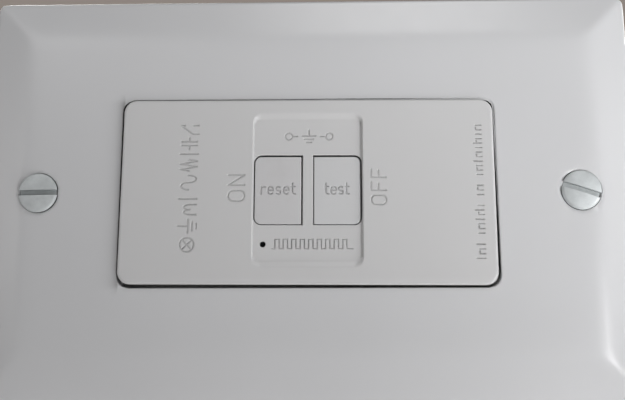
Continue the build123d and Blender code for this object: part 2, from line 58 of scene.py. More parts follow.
# ------------------------------------------------------------------ sizes
# Values ending in _X or _Z are half sizes about the middle, or places where the notes say so.
MM = 0.001
PLATE_X, PLATE_Z = 59.55, 37.35
PLATE_R = 1.6
FLAT_X, FLAT_Z = 51.1, 28.9               # the flat of the plate, before its edges fall back
PLATE_Y, PLATE_EDGE_Y, PLATE_T = -5.9, -3.0, 2.0
OPEN_X, OPEN_Z, OPEN_R = 33.59, 16.98, 2.05
FACE_X, FACE_Z, FACE_R, FACE_Y = 33.45, 16.7, 2.3, -6.6
BODY_X, BODY_Z, BODY_R, FLANGE_Y = 35.3, 20.6, 1.5, -3.2
CAVITY_X, CAVITY_Z, COVER_IN_Y = 31.6, 14.9, -4.8
STRAP_Z, STRAP_Y = 12.75, -1.25           # a shallower channel along the cover's back
FLOOR_Y = -6.0                            # the recess floor, level with the buttons

RECESS_MID_X = 0.12                       # the recess sits this far right of the face's middle
RECESS_X, RECESS_FLOOR_X = 9.91, 9.70
RECESS_TOP, RECESS_BOTTOM, RECESS_END_SLOPE = 14.25, -13.75, 1.25
RECESS_R = 1.8

# By side, -1 the left (reset) and 1 the right (test): left and right edge of each button and
# of the hole round it. Ends are (bottom, top).
BUTTON_SIDES = {-1: (-9.45, -1.02), 1: (1.21, 9.62)}
BUTTON_ENDS = (-6.08, 6.21)
BUTTON_R, BUTTON_INNER_R = 1.25, 0.12
HOLE_SIDES = {-1: (-9.57, -0.78), 1: (1.09, 9.82)}
HOLE_ENDS = (-6.18, 6.49)
HOLE_R, HOLE_INNER_R = 1.40, 0.02
STEM_X, STEM_Z = 5.3, 0.12                # middle of each button's stem, pocket and spring

SHRINK = 0.994                # the mouldings are drawn a little large and brought to the CAD's size
LED_X, LED_Z, LED_R, LED_HALF = -7.82, -9.62, 0.52, 0.5   # middle, radius, half the grid square
SCREW_X = 48.42                           # middle of each screw hole
SCREW_HOLE_R, SCREW_HOLE_HALF = 3.74, 4.0  # radius, half the grid square
COUNTERSINK_END_Y = PLATE_Y + 1.86
# the plate hangs a little low and a little turned, inside its clearance round the face
HANG_X, HANG_Z, HANG_TURN = 0.11, -0.12, math.radians(0.26)


# ------------------------------------------------------------------ mesh tools
def link(name, data):
    ob = bpy.data.objects.new(name, data)
    scene.collection.objects.link(ob)
    return ob


def finish_mesh(edit, mesh, sharp_deg):
    """Writes the edited mesh back, smooth with sharp edges above the angle."""
    edit.to_mesh(mesh)
    edit.free()
    mesh.shade_smooth()
    mesh.set_sharp_from_angle(angle=math.radians(sharp_deg))


def new_object(name, verts, faces, sharp_deg, painted_shade=()):
    """verts in millimetres. The last argument gives each of the first vertices its painted shade,
    which the material darkens it by.
    """
    mesh = bpy.data.meshes.new(name)
    mesh.from_pydata([(x * MM, y * MM, z * MM) for x, y, z in verts], [], faces)
    edit = bmesh.new()
    edit.from_mesh(mesh)
    # painted shade: how far the material darkens each vertex, standing in for shadow
    layer = edit.verts.layers.float.new("painted_shade")
    for vert, value in zip(edit.verts, painted_shade):
        if value > 0.001:
            vert[layer] = value
    bmesh.ops.remove_doubles(edit, verts=edit.verts, dist=2e-7)
    bmesh.ops.dissolve_degenerate(edit, dist=1e-8, edges=edit.edges)
    loose = [vert for vert in edit.verts if not vert.link_faces]
    bmesh.ops.delete(edit, geom=loose, context="VERTS")
    bmesh.ops.recalc_face_normals(edit, faces=edit.faces)
    finish_mesh(edit, mesh, sharp_deg)
    return link(name, mesh)


def register(ob, body, node):
    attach(ob, body)
    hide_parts(node)
    return ob


def shrink(ob):
    for vert in ob.data.vertices:
        vert.co.x *= SHRINK
        vert.co.z *= SHRINK


def hang(ob):
    """Moves a mesh as the plate hangs: a little low, and turned about the middle of the face."""
    cos, sin = math.cos(HANG_TURN), math.sin(HANG_TURN)
    for vert in ob.data.vertices:
        x, z = vert.co.x, vert.co.z
        vert.co.x = x * cos - z * sin + HANG_X * MM
        vert.co.z = z * cos + x * sin + HANG_Z * MM


# ------------------------------------------------------------------ grids
def mirror(values):
    return [side * value for side in (-1, 1) for value in values]


def mirror_spans(spans):
    return spans + [(-end, -start, spacing) for start, end, spacing in spans]


def lines(spans, points=(), steps=()):
    """Grid lines through all the (start, end, spacing) spans and the points.

    A value in steps appears twice: the two sides of a vertical wall.
    """
    gap = 0.012                           # closer lines than this become one
    values = list(points)
    for start, end, spacing in spans:
        count = max(1, int(math.ceil((end - start) / spacing - 1e-9)))
        values += [start + (end - start) * i / count for i in range(count + 1)]
    out = []
    for value in sorted(values):
        if not out or value - out[-1] > gap:
            out.append(value)
    out = [value for value in out if all(abs(value - step) > gap for step in steps)]
    return np.array(sorted(out + [step for step in steps for _ in (0, 1)]))


def first_line(values, value):
    return np.where(np.abs(values - value) < 1e-9)[0][0]


def last_line(values, value):
    return np.where(np.abs(values - value) < 1e-9)[0][-1]


def between(index, values, low, high):
    """Which indices lie between two stepped lines, on the inner side of each wall."""
    return (index >= last_line(values, low)) & (index <= first_line(values, high))


def corner_warp(x, z, corner_x, corner_z, sx, sz, radius, reach):
    """Rounds a corner of an outline whose inside lies towards (-sx, -sz).

    The outline becomes an arc, and points outside follow it within reach.
    """
    u = (sx * (x - corner_x) + radius) / radius
    v = (sz * (z - corner_z) + radius) / radius
    near = (u > 0) & (v > 0)
    u_in, v_in = np.clip(u, 0, 1), np.clip(v, 0, 1)
    shift_u = u_in * np.sqrt(1 - v_in**2 / 2) - u_in
    shift_v = v_in * np.sqrt(1 - u_in**2 / 2) - v_in
    outside = np.maximum(np.maximum(u - 1, v - 1), 0) * radius
    weight = np.where(near, np.clip(1 - outside / reach, 0, 1), 0)
    weight = weight * weight * (3 - 2 * weight)
    return x + sx * shift_u * radius * weight, z + sz * shift_v * radius * weight


def round_corners(x, z, half_x, half_z, radius, reach):
    """Rounds all four corners of a rectangle about the middle."""
    for sx in (-1, 1):
        for sz in (-1, 1):
            x, z = corner_warp(x, z, sx * half_x, sz * half_z, sx, sz, radius, reach)
    return x, z


def round_outer(x, z, side, sides, ends, radius, reach):
    """Rounds the two corners of a button or its hole that are farthest from the middle."""
    corner_x = sides[0] if side < 0 else sides[1]
    for corner_z, sz in zip(ends, (-1, 1)):
        x, z = corner_warp(x, z, corner_x, corner_z, side, sz, radius, reach)
    return x, z


def disc_warp(x, z, mid_x, mid_z, half, radius, reach):
    """The square ring at half from the middle becomes a circle. The grid is unchanged past reach."""
    u, v = x - mid_x, z - mid_z
    ring = np.maximum(np.abs(u), np.abs(v))
    length = np.hypot(u, v)
    inside = (ring < reach) & (length > 1e-9)
    weight = np.clip((reach - ring) / (reach - half), 0, 1)
    want = radius * np.where(ring < half, ring / half, 1 + (ring - half) / half * 0.6)
    scale = np.where(inside, (1 - weight) + weight * want / np.maximum(length, 1e-9), 1)
    return mid_x + u * scale, mid_z + v * scale


def outline_distance(x, z, sides, ends, radius):
    """Signed distance to a rounded rectangle, below 0 inside. radius may be (left, right)."""
    left_r, right_r = radius if isinstance(radius, tuple) else (radius, radius)
    mid_x, mid_z = (sides[0] + sides[1]) / 2, (ends[0] + ends[1]) / 2
    corner = np.where(x < mid_x, left_r, right_r)
    over_x = np.abs(x - mid_x) - (sides[1] - sides[0]) / 2 + corner
    over_z = np.abs(z - mid_z) - (ends[1] - ends[0]) / 2 + corner
    past = np.hypot(np.maximum(over_x, 0), np.maximum(over_z, 0))
    return past + np.minimum(np.maximum(over_x, over_z), 0) - corner


def left_right(side, outer, inner):
    """The (left, right) pair for a side whose outer value is away from the middle."""
    return (outer, inner) if side < 0 else (inner, outer)


def fillet_drop(distance, radius):
    """How far a surface has fallen at a distance inside an edge rounded with radius."""
    short = np.clip(radius - distance, 0, radius)
    return radius - np.sqrt(radius * radius - short * short)


def grid_solid(name, xs, zs, front, back, keep, warp, painted_shade, sharp_deg, extra=((), ())):
    """A closed solid between two height maps over one grid.

    front and back give Y from (column, row, x, z), keep says from a cell's middle whether it
    exists, the next function gives the painted shade on the front, and extra is more (verts, faces).
    """
    width, height = len(xs), len(zs)
    col, row = np.meshgrid(np.arange(width), np.arange(height), indexing="ij")
    flat_x, flat_z = np.meshgrid(xs, zs, indexing="ij")
    x, z = warp(flat_x, flat_z)
    verts = np.concatenate([
        np.stack([x, surface(col, row, x, z), z], -1).reshape(-1, 3) for surface in (front, back)
    ]).tolist()
    layer = width * height                # from a front vertex to the one behind it
    cell = keep((flat_x[:-1, :-1] + flat_x[1:, 1:]) / 2, (flat_z[:-1, :-1] + flat_z[1:, 1:]) / 2)
    i, j = np.nonzero(cell)
    start = i * height + j
    quads = np.stack([start, start + height, start + height + 1, start + 1], 1)
    faces = quads.tolist() + (quads[:, [0, 3, 2, 1]] + layer).tolist()
    # walls where a kept cell meets a missing one: edges along Z, then along X
    pad = np.zeros((width + 1, height + 1), bool)
    pad[1:-1, 1:-1] = cell
    for changed, stride in ((pad[1:, 1:-1] != pad[:-1, 1:-1], 1),
                            (pad[1:-1, 1:] != pad[1:-1, :-1], height)):
        i, j = np.nonzero(changed)
        start = i * height + j
        end = start + stride
        faces += np.stack([start, end, end + layer, start + layer], 1).tolist()
    extra_verts, extra_faces = extra
    base = len(verts)
    verts += extra_verts
    faces += [[base + k for k in face] for face in extra_faces]
    return new_object(name, verts, faces, sharp_deg, painted_shade(x, z).reshape(-1).tolist())


def skin_rings(rings):
    """Faces between successive vertex rings. A ring of one vertex is a point."""
    faces = []
    count = max(len(ring) for ring in rings)
    for ring, after in zip(rings, rings[1:]):
        for k in range(count):
            k_next = (k + 1) % count
            if len(ring) == 1:
                faces.append([ring[0], after[k_next], after[k]])
            elif len(after) == 1:
                faces.append([ring[k], ring[k_next], after[0]])
            else:
                faces.append([ring[k], ring[k_next], after[k_next], after[k]])
    return faces


def lathe_y(profile, mid_x, mid_z, count=48):
    """Surface turned about a line along Y, from (radius, y) stations. Radius 0 is a point."""
    verts, rings = [], []
    for radius, y in profile:
        start = len(verts)
        if radius < 1e-6:
            verts.append((mid_x, y, mid_z))
        else:
            for k in range(count):
                angle = 2 * math.pi * k / count
                verts.append((mid_x + radius * math.cos(angle), y,
                              mid_z + radius * math.sin(angle)))
        rings.append(list(range(start, len(verts))))
    return verts, skin_rings(rings)


# ------------------------------------------------------------------ engraved marks
def arc(mid_x, mid_y, radius_x, radius_y, start, end, count=10):
    """Points along an elliptical arc, with start and end in degrees."""
    angles = [math.radians(start + (end - start) * k / count) for k in range(count + 1)]
    return [(mid_x + radius_x * math.cos(a), mid_y + radius_y * math.sin(a)) for a in angles]


def circle(mid_x, mid_y, radius):
    return arc(mid_x, mid_y, radius, radius, 0, 360, 20)


def cross_ring(x, y, radius):
    reach = radius * 0.707
    return [circle(x, y, radius), [(x - reach, y - reach), (x + reach, y + reach)],
            [(x - reach, y + reach), (x + reach, y - reach)]]


# plain stroke letters, each in a box 1 high, as (width, [polylines])
GLYPHS = {
    "O": (0.64, [arc(0.32, 0.70, 0.32, 0.30, 0, 180) + arc(0.32, 0.30, 0.32, 0.30, 180, 360)
                 + [(0.64, 0.70)]]),
    "N": (0.62, [[(0, 0), (0, 1), (0.62, 0), (0.62, 1)]]),
    "F": (0.54, [[(0, 0), (0, 1), (0.54, 1)], [(0, 0.52), (0.46, 0.52)]]),
    "r": (0.36, [[(0, 0), (0, 0.70)], [(0, 0.42)] + arc(0.26, 0.42, 0.26, 0.26, 180, 60, 8)]),
    "e": (0.50, [[(0.01, 0.36), (0.49, 0.36)] + arc(0.25, 0.36, 0.25, 0.33, 0, 180, 12)
                 + arc(0.25, 0.31, 0.25, 0.31, 180, 312, 10)]),
    "s": (0.44, [arc(0.22, 0.52, 0.20, 0.175, 40, 270, 12)
                 + arc(0.22, 0.175, 0.21, 0.17, 90, -140, 12)]),
    "t": (0.34, [[(0.10, 1.0), (0.10, 0.18)] + arc(0.27, 0.18, 0.17, 0.17, 180, 270, 6)
                 + [(0.34, 0.01)], [(0.0, 0.70), (0.32, 0.70)]]),
}


def word(text, height, length):
    """Polylines of a word with its baseline along +x from 0, to the given height and length."""
    total = sum(GLYPHS[letter][0] for letter in text) * height
    space = (length - total) / (len(text) - 1)
    out, start = [], 0.0
    for letter in text:
        width, strokes = GLYPHS[letter]
        out += [[(start + x * height, y * height) for x, y in stroke] for stroke in strokes]
        start += width * height + space
    return out


def place(strokes, x, z, up=False):
    """Puts polylines on the face: baseline along +X, or along +Z where up is set."""
    if up:
        return [[(x - along_y, z + along_x) for along_x, along_y in s] for s in strokes]
    return [[(x + along_x, z + along_y) for along_x, along_y in s] for s in strokes]


def groove(x, z, strokes, half, depth):
    """Depth of round-bottomed grooves along the polylines."""
    out = np.zeros_like(x)
    pad = half * 2.2
    for stroke in strokes:
        for (x0, z0), (x1, z1) in zip(stroke, stroke[1:]):
            near = ((x > min(x0, x1) - pad) & (x < max(x0, x1) + pad)
                    & (z > min(z0, z1) - pad) & (z < max(z0, z1) + pad))
            if not near.any():
                continue
            from_x, from_z = x[near] - x0, z[near] - z0
            run_x, run_z = x1 - x0, z1 - z0
            square = max(run_x * run_x + run_z * run_z, 1e-9)
            along = np.clip((from_x * run_x + from_z * run_z) / square, 0, 1)
            distance = np.hypot(from_x - along * run_x, from_z - along * run_z)
            weight = np.clip((half * 1.35 - distance) / (half * 0.7), 0, 1)
            weight = weight * weight * (3 - 2 * weight)
            out[near] = np.maximum(out[near], depth * weight)
    return out


def engrave(x, z, marks):
    return sum(groove(x, z, *mark) for mark in marks)


def painted_shade_in_marks(x, z, marks):
    """Painted shade: 1 along the bottom of the marks, fading at their sides."""
    return np.maximum.reduce([groove(x, z, strokes, half, 1.0) for strokes, half, _ in marks])


# nine plain circuit signs in a row, 22.9 long and 3.4 high
SIGNS = [
    *cross_ring(1.25, 1.7, 1.25),                                               # lamp
    [(4.55, 3.4), (4.55, 1.6)], [(3.35, 1.6), (5.75, 1.6)],                     # earth
    [(3.75, 0.85), (5.35, 0.85)], [(4.15, 0.1), (4.95, 0.1)],
    [(6.6, 0.2), (6.6, 1.3)] + arc(7.05, 1.3, 0.45, 1.1, 180, 0, 8)             # coil
    + arc(7.95, 1.3, 0.45, 1.1, 180, 0, 8) + [(8.4, 0.2)],
    [(9.45, 0.1), (9.45, 3.3)],                                                 # bar
    arc(11.75, 1.7, 0.65, 1.35, 180, 0, 9) + arc(13.05, 1.7, 0.65, 1.35, 180, 360, 9),  # wave
    [(14.5, 1.7), (14.8, 3.2), (15.3, 0.2), (15.8, 3.2), (16.3, 0.2), (16.6, 1.7)],  # resistor
    [(17.6, 0.1), (17.6, 3.3)],                                                 # bar
    [(18.5, 1.7), (19.2, 1.7)], [(19.2, 0.3), (19.2, 3.1)],                     # capacitor
    [(19.9, 0.3), (19.9, 3.1)], [(19.9, 1.7), (20.6, 1.7)],
    [(21.3, 0.1), (21.3, 1.2), (22.6, 3.0)],                                    # switch
    [(22.9, 3.3), (22.9, 2.6)], [(22.9, 1.0), (22.9, 0.1)],
]
# earth sign with a contact on each side
EARTH = [
    [(4.4, 2.6), (4.4, 1.55)], [(3.2, 1.55), (5.6, 1.55)],
    [(3.6, 0.95), (5.2, 0.95)], [(4.0, 0.35), (4.8, 0.35)],
    circle(0.75, 1.45, 0.62), [(1.37, 1.45), (2.3, 1.45)],
    circle(8.05, 1.45, 0.62), [(6.5, 1.45), (7.43, 1.45)],
]


def pulse_train():
    """One line of nine square pulses."""
    low, high, pitch, width = 0.1, 1.75, 1.5, 0.75
    line = [(0, low)]
    for k in range(9):
        start = 0.5 + pitch * k
        line += [(start, low), (start, high), (start + width, high), (start + width, low)]
    return [line + [(14.3, low)]]


def tally():
    """Four groups of short bars, some tall, every third with a foot at its top."""
    short, tall, foot, pitch, group_gap = 0.95, 1.45, 0.42, 0.82, 1.12
    out, x = [], 0.3
    for count, tall_ones in ((4, (0, 3)), (7, (3, 5)), (3, ()), (12, (3, 7))):
        for k in range(count):
            out.append([(x, 0.0), (x, tall if k in tall_ones else short)])
            if k % 3 == 1:
                out.append([(x, short), (x + foot, short)])
            x += pitch
        x += group_gap
    return out


# (polylines, half width, depth) of each mark
FACE_MARKS = [
    (place(SIGNS, -19.55, -11.0, up=True), 0.14, 0.19),
    (place(word("ON", height=2.93, length=4.72), -11.15, -1.95, up=True), 0.135, 0.18),
    (place(word("OFF", height=2.66, length=6.37), 14.07, -2.62, up=True), 0.13, 0.17),
    (place(tally(), 31.15, -12.37, up=True), 0.10, 0.20),
    (place(EARTH, -4.1, 8.5), 0.13, 0.17),
    (place(pulse_train(), -6.2, -10.45), 0.10, 0.18),
]
BUTTON_MARKS = {
    -1: [(place(word("reset", height=1.95, length=6.12), -8.25, -0.60), 0.12, 0.20)],
    1: [(place(word("test", height=1.95, length=4.31), 3.17, -0.60), 0.12, 0.20)],
}


# ------------------------------------------------------------------ front cover
def cover_grid():
    """Grid lines of the cover, close at its edges, the recess, the holes and the marks."""
    edge = (0.02, 0.06, 0.12, 0.2, 0.3, 0.42, 0.55)
    lip = (0.04, 0.09, 0.15)
    dense, fine_x = 0.11, 10.3
    (hole_a, hole_b), (hole_c, hole_d) = HOLE_SIDES[-1], HOLE_SIDES[1]
    hole_bottom, hole_top = HOLE_ENDS
    xs = lines(
        mirror_spans([(fine_x, CAVITY_X, 0.7), (CAVITY_X, FACE_X, 0.5), (FACE_X, BODY_X, 0.6)])
        + [(-fine_x, hole_a, 0.05), (hole_a, hole_b, 0.3), (hole_b, hole_c, 0.2),
           (hole_c, hole_d, 0.3), (hole_d, fine_x, 0.05),
           # under the marks
           (-23.3, -18.7, dense), (-14.3, -10.1, dense), (-4.5, 5.4, dense), (-6.4, 8.9, dense),
           (11.1, 15.2, dense), (29.2, 31.7, 0.12),
           (LED_X - 1.2, LED_X + 1.2, 0.13)],
        points=mirror([FACE_X - t for t in edge]) + [hole_b + t for t in lip]
        + [hole_c - t for t in lip] + [LED_X - LED_HALF, LED_X + LED_HALF],
        steps=mirror((FACE_X, CAVITY_X)))
    zs = lines(
        mirror_spans([(CAVITY_Z, FACE_Z, 0.5), (FACE_Z, BODY_Z, 0.8), (STRAP_Z, CAVITY_Z, 0.12)])
        + [(-STRAP_Z, STRAP_Z, dense)],
        points=mirror([FACE_Z - t for t in edge]) + [hole_top + t for t in (0, *lip)]
        + [hole_bottom - t for t in (0, *lip)] + [LED_Z - LED_HALF, LED_Z + LED_HALF],
        steps=mirror((FACE_Z, CAVITY_Z, STRAP_Z)))
    return xs, zs


def recess_depth(x, z):
    """Depth of the sloped recess round the buttons."""
    end = np.where(z > 0, RECESS_TOP, -RECESS_BOTTOM)
    side_slope = RECESS_X - RECESS_FLOOR_X
    from_x, from_z = np.abs(x - RECESS_MID_X), np.abs(z)
    side_t = (RECESS_X - from_x) / side_slope
    end_t = (end - from_z) / RECESS_END_SLOPE
    # in the corners the slope follows an arc, its width passing from one slope to the other
    u = (from_x - (RECESS_X - RECESS_R)) / RECESS_R
    v = (from_z - (end - RECESS_R)) / RECESS_R
    radial = np.hypot(np.maximum(u, 1e-9), np.maximum(v, 1e-9))
    cos, sin = np.maximum(u, 0) / radial, np.maximum(v, 0) / radial
    slope = np.hypot(side_slope * cos * 1.6, RECESS_END_SLOPE * sin)
    corner_t = (1 - radial) * RECESS_R / np.maximum(slope, 1e-6)
    t = np.where((u > 0) & (v > 0), corner_t, np.minimum(side_t, end_t))
    t = np.clip(t, 0, 1)
    return (FLOOR_Y - FACE_Y) * (0.35 * t + 0.65 * t * t * (3 - 2 * t))


def build_cover():
    xs, zs = cover_grid()
    (hole_a, hole_b), (hole_c, hole_d) = HOLE_SIDES[-1], HOLE_SIDES[1]

    def warp(x, z):
        x, z = round_corners(x, z, FACE_X, FACE_Z, FACE_R, reach=1.7)
        x, z = round_corners(x, z, BODY_X, BODY_Z, BODY_R, reach=1e-6)
        for side in (-1, 1):
            x, z = round_outer(x, z, side, HOLE_SIDES[side], HOLE_ENDS, HOLE_R, reach=0.9)
        return disc_warp(x, z, LED_X, LED_Z, LED_HALF, LED_R, reach=1.15)

    def front(col, row, x, z):
        on_face = between(col, xs, -FACE_X, FACE_X) & between(row, zs, -FACE_Z, FACE_Z)
        inset = -outline_distance(x, z, (-FACE_X, FACE_X), (-FACE_Z, FACE_Z), FACE_R)
        y = FACE_Y + fillet_drop(inset, 0.55) + recess_depth(x, z)
        near_holes = (x > hole_a + 0.05) & (x < hole_d - 0.05)
        for side in (-1, 1):
            radii = left_right(side, HOLE_R, HOLE_INNER_R)
            away = outline_distance(x, z, HOLE_SIDES[side], HOLE_ENDS, radii)
            y = y + np.where(near_holes, fillet_drop(away, 0.16), 0)
        y = y + fillet_drop(np.hypot(x - LED_X, z - LED_Z) - LED_R, 0.1)
        return np.where(on_face, y + engrave(x, z, FACE_MARKS), FLANGE_Y)

    def back(col, row, x, z):
        cavity = between(col, xs, -CAVITY_X, CAVITY_X) & between(row, zs, -CAVITY_Z, CAVITY_Z)
        strap = between(row, zs, -STRAP_Z, STRAP_Z)
        return np.where(cavity, COVER_IN_Y, np.where(strap, STRAP_Y, 0.0))

    def keep(x, z):
        hole = (((x > hole_a) & (x < hole_b)) | ((x > hole_c) & (x < hole_d)))
        hole = hole & (z > HOLE_ENDS[0]) & (z < HOLE_ENDS[1])
        led = (np.abs(x - LED_X) < LED_HALF) & (np.abs(z - LED_Z) < LED_HALF)
        return ~(hole | led)

    # the front carries painted shade along the bottom of its marks
    ob = grid_solid("front_cover_moulded", xs, zs, front, back, keep, warp,
                    painted_shade=lambda x, z: painted_shade_in_marks(x, z, FACE_MARKS), sharp_deg=42)
    shrink(ob)
    return register(ob, "device", "front_cover")


# ------------------------------------------------------------------ buttons
# (radius, y) of each button's stem, by side: a bored boss, and a long round-ended pin
STEMS = {
    -1: [(0.0, -4.2), (0.67, -4.2), (0.67, -2.4), (1.6, -2.4), (1.6, -4.88), (0.0, -4.88)],
    1: [(0, 2.65), (0.45, 2.6), (0.85, 2.45), (1.06, 2.2), (1.15, 1.9), (1.15, -4.88), (0, -4.88)],
}


def build_button(side):
    """A button with a flange round its foot, a pocket in its back and a stem in the pocket."""
    kind = "reset" if side < 0 else "test"
    left, right = BUTTON_SIDES[side]
    bottom, top = BUTTON_ENDS
    flange_left, flange_right = left_right(side, 0.6, 0.55)
    flange_end = 0.6
    stem_x = side * STEM_X
    pocket_x = (stem_x - 3.0, stem_x + 3.0)
    pocket_z = (STEM_Z - 4.8, STEM_Z + 4.8)
    edge = (0.02, 0.06, 0.11, 0.17, 0.25, 0.34)
    xs = lines([(left - flange_left, left, 0.3), (left, right, 0.11),
                (right, right + flange_right, 0.3)],
               points=[left + t for t in edge] + [right - t for t in edge],
               steps=(left, right, *pocket_x))
    zs = lines([(bottom - flange_end, bottom, 0.3), (bottom, -1.2, 0.22), (-1.2, 1.7, 0.10),
                (1.7, top, 0.22), (top, top + flange_end, 0.3)],
               points=[bottom + t for t in edge] + [top - t for t in edge],
               steps=(bottom, top, *pocket_z))
    radii = left_right(side, BUTTON_R, BUTTON_INNER_R)
    marks = BUTTON_MARKS[side]

    def warp(x, z):
        return round_outer(x, z, side, (left, right), BUTTON_ENDS, BUTTON_R, reach=0.5)

    def front(col, row, x, z):
        raised = between(col, xs, left, right) & between(row, zs, bottom, top)
        inset = -outline_distance(x, z, (left, right), BUTTON_ENDS, radii)
        mid_x, mid_z = (left + right) / 2, (bottom + top) / 2
        crown = 0.05 * (((x - mid_x) / 4.1) ** 2 + ((z - mid_z) / 6.1) ** 2)
        y = FLOOR_Y + crown + fillet_drop(inset, 0.24) + engrave(x, z, marks)
        return np.where(raised, y, -3.4)

    def back(col, row, x, z):
        return np.where(between(col, xs, *pocket_x) & between(row, zs, *pocket_z), -4.9, -2.4)

    # the front carries painted shade along the bottom of its marks
    ob = grid_solid(kind + "_button_moulded", xs, zs, front, back,
                    keep=lambda x, z: np.ones_like(x, bool), warp=warp,
                    painted_shade=lambda x, z: painted_shade_in_marks(x, z, marks), sharp_deg=42,
                    extra=lathe_y(STEMS[side], stem_x, STEM_Z))
    shrink(ob)
    return register(ob, kind + "_actuator", kind + "_button")


# ------------------------------------------------------------------ wall plate
def screw_profile():
    """(radius, y) of an oval head with a rounded shoulder, and its shank."""
    top = PLATE_Y - 0.68
    crown = [(r, top + 0.026 * r * r) for r in (0.5, 1.0, 1.5, 2.0, 2.5, 2.9, 3.15)]
    shoulder = [(3.30, 0.32), (3.42, 0.42), (3.50, 0.56), (3.53, 0.74), (3.42, 0.92)]
    return [(0.0, top), *crown, *((r, top + drop) for r, drop in shoulder),
            (1.62, COUNTERSINK_END_Y), (1.62, 3.2), (1.35, 3.5), (0.0, 3.5)]


def slot_cutter(mid_x, tilt_deg):
    """The block that cuts a screw's slot."""
    edit = bmesh.new()
    bmesh.ops.create_cube(edit, size=1.0)
    for vert in edit.verts:
        vert.co.x *= 9.4 * MM
        vert.co.y *= 1.3 * MM
        vert.co.z *= 0.97 * MM
    mesh = bpy.data.meshes.new("slot_cutter")
    edit.to_mesh(mesh)
    edit.free()
    ob = link("slot_cutter", mesh)
    ob.location = (mid_x * MM, (PLATE_Y - 0.30) * MM, 0)
    ob.rotation_euler = (0, math.radians(tilt_deg), 0)
    return ob


def build_plate_screws():
    """Two slotted oval heads, each a closed solid, joined in one mesh."""
    both = bmesh.new()
    for mid_x, tilt_deg in ((-SCREW_X, -1.0), (SCREW_X - 0.10, 18.5)):
        verts, faces = lathe_y(screw_profile(), mid_x, 0, count=128)
        blank = new_object("screw_blank", verts, faces, sharp_deg=30)
        cutter = slot_cutter(mid_x, tilt_deg)
        slot = blank.modifiers.new("slot", "BOOLEAN")
        slot.operation = "DIFFERENCE"
        slot.solver = "EXACT"
        slot.object = cutter
        bpy.context.view_layer.update()
        depsgraph = bpy.context.evaluated_depsgraph_get()
        both.from_mesh(bpy.data.meshes.new_from_object(blank.evaluated_get(depsgraph)))
        bpy.data.objects.remove(blank)
        bpy.data.objects.remove(cutter)
    mesh = bpy.data.meshes.new("wall_plate_screws_turned")
    finish_mesh(both, mesh, sharp_deg=32)
    ob = link("wall_plate_screws_turned", mesh)
    hang(ob)
    return register(ob, "device", "wall_plate_screws")


def plate_surface(x, z):
    """Y of the plate's front: flat in the middle, falling straight to each edge."""
    fall, soft_start, blend = PLATE_EDGE_Y - PLATE_Y, 0.95, 0.16

    def soft_fall(distance, flat, end):
        slope = fall / (end - flat)
        return slope * soft_start * np.logaddexp(0, (distance - flat) / soft_start)

    fall_x = soft_fall(np.abs(x), FLAT_X, PLATE_X)
    fall_z = soft_fall(np.abs(z), FLAT_Z, PLATE_Z)
    lift = blend * math.log(2) * np.exp(-np.maximum(fall_x, fall_z) / 0.3)
    return PLATE_Y + blend * np.logaddexp(fall_x / blend, fall_z / blend) - lift


def cut_countersinks(mesh):
    """Replaces the straight wall of each screw hole with a countersink and a short rear boss."""
    # (radius, y) from the front rim to the back rim
    profile = [(3.62, PLATE_Y + 0.2), (1.95, COUNTERSINK_END_Y), (1.9, PLATE_Y + PLATE_T),
               (1.9, -1.25), (3.1, -1.25), (3.1, PLATE_Y + PLATE_T)]
    edit = bmesh.new()
    edit.from_mesh(mesh)
    for side in (-1, 1):
        mid_x = side * SCREW_X

        def on_rim(vert):
            radius = math.hypot(vert.co.x / MM - mid_x, vert.co.z / MM)
            return abs(radius - SCREW_HOLE_R) < 0.12

        def angle(vert):
            return math.atan2(vert.co.z, vert.co.x - mid_x * MM)

        def is_wall(face):
            depths = [vert.co.y for vert in face.verts]
            return (abs(face.normal.y) < 0.3 and all(on_rim(vert) for vert in face.verts)
                    and max(depths) - min(depths) > 0.001)

        wall = [face for face in edit.faces if is_wall(face)]
        front_rim, back_rim = set(), set()
        for face in wall:
            for vert in face.verts:
                (front_rim if vert.co.y < (PLATE_Y + 1.0) * MM else back_rim).add(vert)
        bmesh.ops.delete(edit, geom=wall, context="FACES_ONLY")
        front_rim = sorted(front_rim, key=angle)
        rings = [front_rim]
        for radius, y in profile:
            rings.append([
                edit.verts.new(((mid_x + radius * math.cos(a)) * MM, y * MM,
                                radius * math.sin(a) * MM))
                for a in map(angle, front_rim)])
        rings.append(sorted(back_rim, key=angle))
        for face in skin_rings(rings):
            edit.faces.new(face)
    bmesh.ops.recalc_face_normals(edit, faces=edit.faces)
    finish_mesh(edit, mesh, sharp_deg=40)


